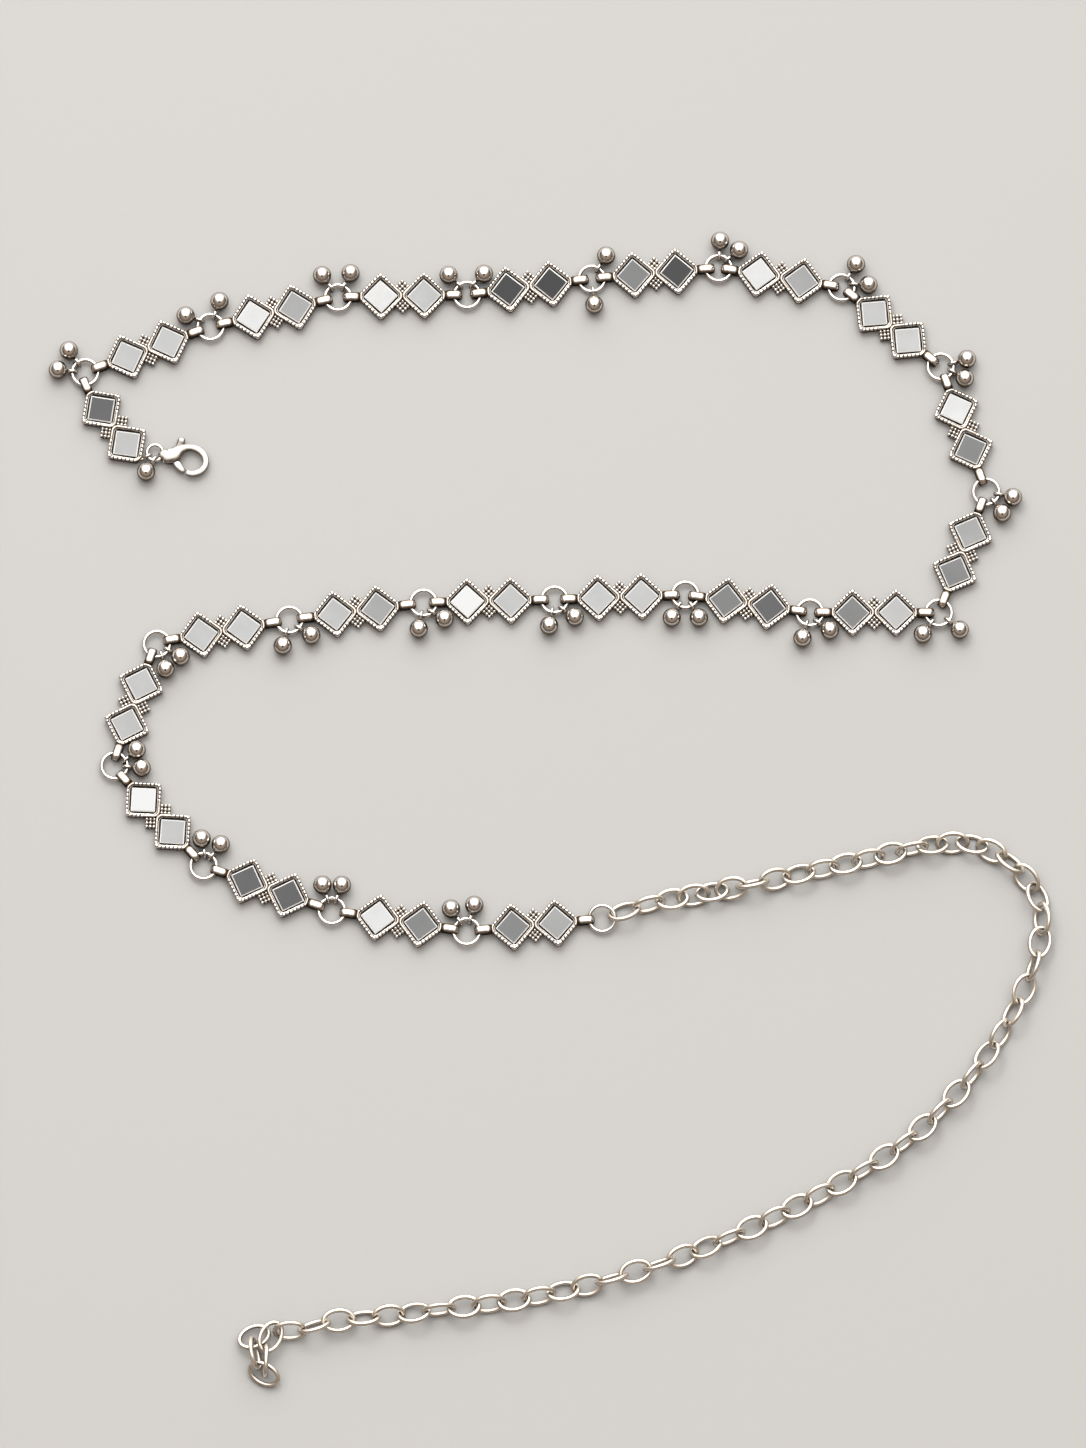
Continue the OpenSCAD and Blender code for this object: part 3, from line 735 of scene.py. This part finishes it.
class WAIST_OT_mirrors(bpy.types.Operator):
    """Bevelled mirror tablets in their frames"""

    bl_idname = "waist.mirrors"
    bl_label = "Mirrors"

    def glass(self, finish):
        """Silvered glass. The point value holds each mirror's painted reflection tone, from
        charcoal to clear, and 2 on the bevel, which is given a pale rough colour as a painted
        highlight.
        """
        made, paint = material("mirror_glass")
        value = wear_and_light_value(paint)
        edge = (value - 1).clamped()
        cloud = paint.noise(7.0, 2.0, 0.5)
        speck = paint.noise(0.30, 2.0, 0.7)
        dust = (speck * 6 - 4.1).clamped()
        # Painted reflection: each mirror's colour darkens towards charcoal by its tone
        reflection_tone = (value.clamped() ** 2 * (0.84 + cloud * 0.32)).clamped()
        tint = paint.mix(reflection_tone, (0.010, 0.010, 0.011), tuple(finish.glass))
        # Painted highlight: the bevel is made pale grey and rough so that it shows bright
        tint = paint.mix(edge, tint, (0.80, 0.80, 0.79))
        tint = paint.mix(dust * 0.18, tint, (0.45, 0.44, 0.42))
        rough = (0.045 + edge * 0.40 + dust * 0.12).clamped()
        paint.finish(paint.node("ShaderNodeBsdfPrincipled", {}, {
            "Base Color": tint, "Metallic": 1 - edge, "Roughness": rough,
            "Coat Weight": 0.4, "Coat Roughness": 0.03,
            "Normal": paint.bump(cloud, 0.02, 0.35)}))
        return made

    def execute(self, context):
        skin = self.glass(context.scene.waist_finish)
        half, flat = TABLET_HALF, TABLET_HALF - TABLET_BEVEL
        tablet = slab([[half - 0.02, -0.25, 0.2], [half, -0.23, 0.2], [half, 0.07, 2],
                       [half - 0.03, 0.09, 2], [flat, 0.25, 2], [flat, 0.25, 0]])
        lies = [plaque_lie(name) for name in PLAQUES]
        mids = np.array([mid for mid, _ in lies])
        for name in ("mirrors_upper", "mirrors_lower"):
            shapes = []
            for points in solids(name):
                mid, axes = lie(points)
                far = points[np.linalg.norm(points - mid, axis=1).argmax()] - mid
                normal = axes[:, 2]
                x = far - normal * (far @ normal)
                x /= np.linalg.norm(x)
                turn = np.stack([x, np.cross(normal, x), normal], -1)
                k = np.linalg.norm(mids - mid[:2], axis=1).argmin()
                ahead = np.array([math.cos(lies[k][1]), math.sin(lies[k][1])])
                second = int((mid[:2] - mids[k]) @ ahead > 0)
                skew = math.radians(1.3 * math.sin(2.4 * k + 1.1 * second))
                one = tablet.moved(turn @ turn_z(skew), mid)
                # Each mirror takes its painted reflection tone from the table; the bevel keeps 2
                one.relief = np.where(one.relief > 1, 2, PAINTED_MIRROR_REFLECTIONS[k, second])
                shapes.append(one)
            put(f"{name}_tablets", join(shapes), skin, "jewel", [name], crease=20)
        return {"FINISHED"}


# Loops of round wire: half length, half width, wire, steps round, sides of the wire
CONNECTOR = (3.2, 3.2, 1.0, 72, 14)
CLASP_RING = (1.97, 1.97, 0.86, 56, 12)
BELL_LOOP = (1.15, 1.15, 0.76, 28, 10)
# A bell's loop stands this far out from the ball's middle and this high, with a neck bead
BELL_OUT, BELL_LOOP_Z, NECK = 3.52, 1.55, 0.55
LINK_LONG, LINK_WIDE = 3.75, 2.5


class WAIST_OT_rings(bpy.types.Operator):
    """Connector rings, the ring that starts the chain and the clasp's ring"""

    bl_idname = "waist.rings"
    bl_label = "Rings"

    def execute(self, context):
        skin = silver("ring_silver", context.scene.waist_finish, 0.13, 0.55, 2.0, 0.3, 0.003)
        # Painted shade on the sides and underside of the wire, its top worn bright
        loop = rubbed_and_shaded(oval(*CONNECTOR), 0.22, -0.1, 0.65)
        shapes = [loop.moved(by=ring_middle(name)) for name in RINGS]
        put("connector_rings", join(shapes), skin, "jewel", RINGS)
        mid, axes = lie(cad_mesh("chain_ring")[0])
        put("chain_start_ring", loop.moved(axes, mid), skin, "jewel",
            ["chain_ring"])
        # Painted shade on the sides and underside of the wire, its top worn bright
        small = rubbed_and_shaded(oval(*CLASP_RING), 0.25, -0.1, 0.65)
        put("clasp_end_ring", small.moved(by=ring_middle("clasp_ring")), skin, "jewel",
            ["clasp_ring"])
        return {"FINISHED"}


class WAIST_OT_bells(bpy.types.Operator):
    """Ball bells with their loops and neck beads"""

    bl_idname = "waist.bells"
    bl_label = "Bells"

    def execute(self, context):
        sizes, finish = context.scene.waist_sizes, context.scene.waist_finish
        skin = silver("bell_silver", finish, 0.15, 0.45, 3.0, 0.5, 0.002)
        r = sizes.ball / MM / 2
        ball = bead((r, r, r), 36, 20)
        # Painted shade: the ball darkens from high up down to its foot
        ball.relief = 0.30 + 0.70 * smooth(ball.points[:, 2] / r, 0.15, 0.82)
        loop = oval(*BELL_LOOP).moved(ON_EDGE, (BELL_OUT, 0, BELL_LOOP_Z - r))
        neck = bead((NECK, NECK, NECK), 14, 8, 0.85)
        # The loop gets painted shade on its sides and underside
        whole = join([ball, rubbed_and_shaded(loop, 0.3, -0.1, 0.8),
                      neck.moved(by=(BELL_OUT * 0.36, 0, -0.27))])
        for name in ("bells_upper", "bells_lower"):
            turns, spots = [], []
            for points in solids(name):
                top = points[points[:, 2].argmax()]
                away = points[:, :2] - top[:2]
                reach = np.linalg.norm(away, axis=1)
                tip = away[reach > reach.max() - 0.15].mean(axis=0)
                turns.append(turn_z(math.atan2(tip[1], tip[0])))
                spots.append([top[0], top[1], r])
            put(f"{name}_balls", repeat(whole, np.array(turns), spots), skin, "jewel",
                [name])
        return {"FINISHED"}


class WAIST_OT_chain(bpy.types.Operator):
    """Oval links of the extension chain"""

    bl_idname = "waist.chain"
    bl_label = "Extension chain"

    def execute(self, context):
        sizes, finish = context.scene.waist_sizes, context.scene.waist_finish
        skin = silver("link_silver", finish, 0.33, 0.6, 2.2, 0.3, 0.004, (1.0, 0.955, 0.885))
        link = oval(LINK_LONG, LINK_WIDE, sizes.link_wire / MM, 44, 10)
        for name in CHAINS:
            lies = [lie(points) for points in solids(name)]
            links = repeat(link, np.array([a for _, a in lies]), [m for m, _ in lies])
            # Painted shade on the sides and undersides of the links, their tops worn bright
            put(f"{name}_links", rubbed_and_shaded(links, 0.12, -0.05, 0.50), skin, "jewel",
                [name])
        return {"FINISHED"}


# Clasp, millimetres from the middle of the lever's pin
PIN = (-93.425, 88.225, 1.45)
PIN_WIDTH, PIN_HALF, PIN_GAP = 0.8, 1.1, 0.06
# x, y, half width, half height: tail, belly, bow, tip of the hook
CLASP_BODY = [
    [-3.72, 0.66, .22, .30], [-3.35, 0.58, .66, .85], [-2.42, 0.45, 1.25, 1.15],
    [-1.20, 0.15, 1.84, 1.40], [0.20, 0.50, 1.84, 1.45], [1.45, 1.50, 1.32, 1.40],
    [2.75, 2.15, .90, 1.10], [3.95, 2.36, .72, .85], [5.45, 2.12, .75, .78],
    [7.00, 1.25, .78, .75], [8.00, -0.225, .76, .72], [8.05, -2.075, .75, .70],
    [7.00, -3.55, .73, .68], [5.45, -4.25, .70, .66], [4.30, -4.25, .65, .64],
    [3.475, -3.975, .56, .56], [3.225, -3.875, .46, .42]]
# x, y, half width, half height: thumb tab, arm, hub, web, gate
CLASP_LEVER = [
    [2.20, 4.88, .35, .45], [2.16, 4.62, .78, .78], [2.06, 4.00, .98, .85],
    [1.80, 3.30, .98, .72], [1.32, 2.45, .78, .55], [0.68, 1.35, .68, .54],
    [0.10, 0.30, .90, .54], [0.15, -0.60, .80, .54], [0.62, -1.30, .80, .54],
    [1.05, -1.90, .98, .58], [1.62, -2.62, .94, .64], [2.30, -3.38, .76, .62],
    [2.72, -3.78, .60, .50], [2.84, -3.89, .46, .36]]
# The lever swings between two cheeks. Rows that the cheeks, the tail and the bow run between
CHEEKS, TAIL, BOW = (3.0, 6.3), (0, 3.0), (6.3, 16)
CHEEK_BASE = 0.65
# Web that joins the cheeks on the bow's side of the pin: reach, angle in degrees
CLASP_WEB = [[1.25, 2], [1.61, 5], [2.10, 18], [3.18, 28], [3.69, 33], [3.83, 42], [1.25, 25]]
TAIL_BORE = {"x": -2.515, "y": 1.087, "width": 1.5}


class WAIST_OT_clasp(bpy.types.Operator):
    """Clasp body and its lever, smoothed"""

    bl_idname = "waist.clasp"
    bl_label = "Clasp"

    def execute(self, context):
        skin = silver("clasp_silver", context.scene.waist_finish, 0.27, 0.4, 2.5, 0.3, 0.003,
                      (0.50, 0.49, 0.475))
        cheek = loft(CLASP_BODY, CHEEKS, 10, 56, 0.8, CHEEK_BASE, True)
        reach, angle = np.array(CLASP_WEB, float).T
        angle = np.radians(angle)
        edge = np.stack([reach * np.cos(angle), reach * np.sin(angle), 0 * reach], -1)
        rise = Z_UP * (CHEEK_BASE + 0.1)
        x, y = TAIL_BORE["x"], TAIL_BORE["y"]
        bore = rod((x, y - 3, 0), (x, y + 3, 0), TAIL_BORE["width"] / 2)
        hole = rod((0, 0, -2), (0, 0, 2), PIN_WIDTH / 2 + PIN_GAP)
        body = join([cheek, cheek.moved(np.diag([1, 1, -1])).outward(),
                     carved(loft(CLASP_BODY, TAIL, 10, 56, 0.8, CHEEK_BASE), bore),
                     loft(CLASP_BODY, BOW, 10, 56, 0.8, CHEEK_BASE),
                     capped(np.array([edge - rise, edge + rise]), np.ones(2)),
                     rod((0, 0, -PIN_HALF), (0, 0, PIN_HALF), PIN_WIDTH / 2)])
        lever = carved(loft(CLASP_LEVER, (0, len(CLASP_LEVER) - 1), 10, 40, 0.65), hole)
        for name, shape, rides in (("clasp_body", body, "jewel"), ("clasp_lever", lever, "lever")):
            # Painted shade on the sides and undersides of the body and the lever, their tops worn
            # bright
            put(f"{name}_smooth", rubbed_and_shaded(shape, 0.25, -0.1, 0.75).moved(by=PIN), skin, rides,
                [name], crease=35)
        return {"FINISHED"}


# Soft box in the sky: half sizes in x and y, and its middle's y. Direction of the dark disc
BOX_WIDE, BOX_LONG, BOX_Y = 0.76, 0.84, 0.44
DISC_AT = (0.0, -0.36, 0.933)
# Camera, in metres: height of what it sees, and the point that it looks at. Sensor in mm
SEEN, AIM_X, AIM_Y, SENSOR = 0.359, -0.0014, 0.0210, 36.0
FLOOR_HALF, FLOOR_Z = 2.5, -0.0001


class WAIST_OT_stage(bpy.types.Operator):
    """Pale floor, soft light and the camera"""

    bl_idname = "waist.stage"
    bl_label = "Stage"

    def floor(self, finish):
        mesh = bpy.data.meshes.new("floor")
        corners = [(x * FLOOR_HALF, y * FLOOR_HALF, FLOOR_Z)
                   for x, y in ((-1, -1), (1, -1), (1, 1), (-1, 1))]
        mesh.from_pydata(corners, [], [(0, 1, 2, 3)])
        made = bpy.data.objects.new("floor", mesh)
        bpy.context.scene.collection.objects.link(made)
        skin, paint = material("pale_floor")
        grain = paint.noise(0.8, 4.0, 0.6)
        tint = paint.mix(grain * 0.12, tuple(finish.floor), tuple(c * 0.8 for c in finish.floor))
        paint.finish(paint.node("ShaderNodeBsdfPrincipled", {}, {
            "Base Color": tint, "Roughness": 0.75, "Normal": paint.bump(grain, 0.02, 0.3)}))
        mesh.materials.append(skin)

    def sky(self, scene):
        """Soft box overhead, towards +Y: full within its middle and fading outwards as an
        ellipse in x and y, with a small dark disc at its lower edge. The room round it is
        warm and grows dark towards the horizon."""
        world = bpy.data.worlds.new("studio")
        scene.world = world
        paint = Paint(world)
        towards = paint.node("ShaderNodeTexCoord", {}, {}, "Generated")
        x, y, z = (paint.node("ShaderNodeSeparateXYZ", {}, {"Vector": towards}, k) for k in "XYZ")

        def edge(value, low, high, first=0.0, last=1.0):
            return paint.node("ShaderNodeMapRange", {"interpolation_type": "SMOOTHSTEP"}, {
                "Value": value, "From Min": low, "From Max": high,
                "To Min": first, "To Max": last})

        apart = paint.node("ShaderNodeVectorMath", {"operation": "DISTANCE"},
                           {0: towards, 1: DISC_AT}, "Value")
        wide, long = x / BOX_WIDE, (y - BOX_Y) / BOX_LONG
        reach = (wide * wide + long * long) ** 0.5
        box = edge(reach, 1.15, 0.50) * edge(z, 0.0, 0.25)
        disc = edge(apart, 0.28, 0.20)
        level = edge(y, -0.5, 0.6, 2.2, 3.3)
        grey = paint.node("ShaderNodeCombineColor", {},
                          {"Red": level, "Green": level, "Blue": level})
        bright = paint.mix(1.0, (1.0, 0.985, 0.96), grey, "MULTIPLY")
        room = paint.mix(edge(z, -0.1, 0.9), (0.04, 0.03, 0.022), (0.38, 0.30, 0.24))
        back = paint.node("ShaderNodeBackground", {}, {
            "Color": paint.mix(disc, paint.mix(box, room, bright), (0.006, 0.005, 0.004)),
            "Strength": 1.0})
        out = paint.tree.nodes.new("ShaderNodeOutputWorld")
        paint.tree.links.new(back.socket, out.inputs["Surface"])

    def lamp(self, scene):
        light = bpy.data.lights.new("soft_key", "AREA")
        light.shape = "RECTANGLE"
        light.size = 0.35
        light.size_y = 0.25
        light.energy = 1.8
        light.color = (1.0, 0.98, 0.95)
        made = bpy.data.objects.new("soft_key", light)
        made.location = (-0.15, 0.55, 0.75)
        made.rotation_euler = (math.radians(-36), math.radians(-10), 0)
        scene.collection.objects.link(made)

    def camera(self, scene, sizes):
        data = bpy.data.cameras.new("camera")
        far, lean = sizes.camera_height, sizes.camera_lean
        data.sensor_fit = "VERTICAL"
        data.sensor_height = SENSOR
        data.lens = SENSOR * far / SEEN
        data.clip_start, data.clip_end = 0.01, 10.0
        made = bpy.data.objects.new("camera", data)
        made.location = (AIM_X, AIM_Y - far * math.sin(lean), far * math.cos(lean))
        made.rotation_euler = (lean, 0, 0)
        scene.collection.objects.link(made)
        scene.camera = made

    def execute(self, context):
        scene = context.scene
        scene.view_settings.view_transform = "Standard"
        self.floor(scene.waist_finish)
        self.sky(scene)
        self.lamp(scene)
        self.camera(scene, scene.waist_sizes)
        return {"FINISHED"}


STEPS = [WAIST_OT_plaques, WAIST_OT_mirrors, WAIST_OT_rings, WAIST_OT_bells, WAIST_OT_chain,
         WAIST_OT_clasp, WAIST_OT_stage]


class WAIST_PT_panel(bpy.types.Panel):
    """Buttons for each group of pieces"""

    bl_label = "Waist Chain"
    bl_idname = "WAIST_PT_panel"
    bl_space_type = "VIEW_3D"
    bl_region_type = "UI"
    bl_category = "Waist Chain"

    def draw(self, context):
        for step in STEPS:
            self.layout.operator(step.bl_idname)
        for group in (context.scene.waist_sizes, context.scene.waist_finish):
            for key in group.__annotations__:
                self.layout.prop(group, key)


CLASSES = [WaistChainSizes, WaistChainFinish, *STEPS, WAIST_PT_panel]


def register():
    for made in CLASSES:
        bpy.utils.register_class(made)
    bpy.types.Scene.waist_sizes = bpy.props.PointerProperty(type=WaistChainSizes)
    bpy.types.Scene.waist_finish = bpy.props.PointerProperty(type=WaistChainFinish)


def unregister():
    del bpy.types.Scene.waist_finish
    del bpy.types.Scene.waist_sizes
    for made in reversed(CLASSES):
        bpy.utils.unregister_class(made)


def main():
    register()
    for step in STEPS:
        family, action = step.bl_idname.split(".")
        getattr(getattr(bpy.ops, family), action)()


if __name__ == "__main__":
    main()
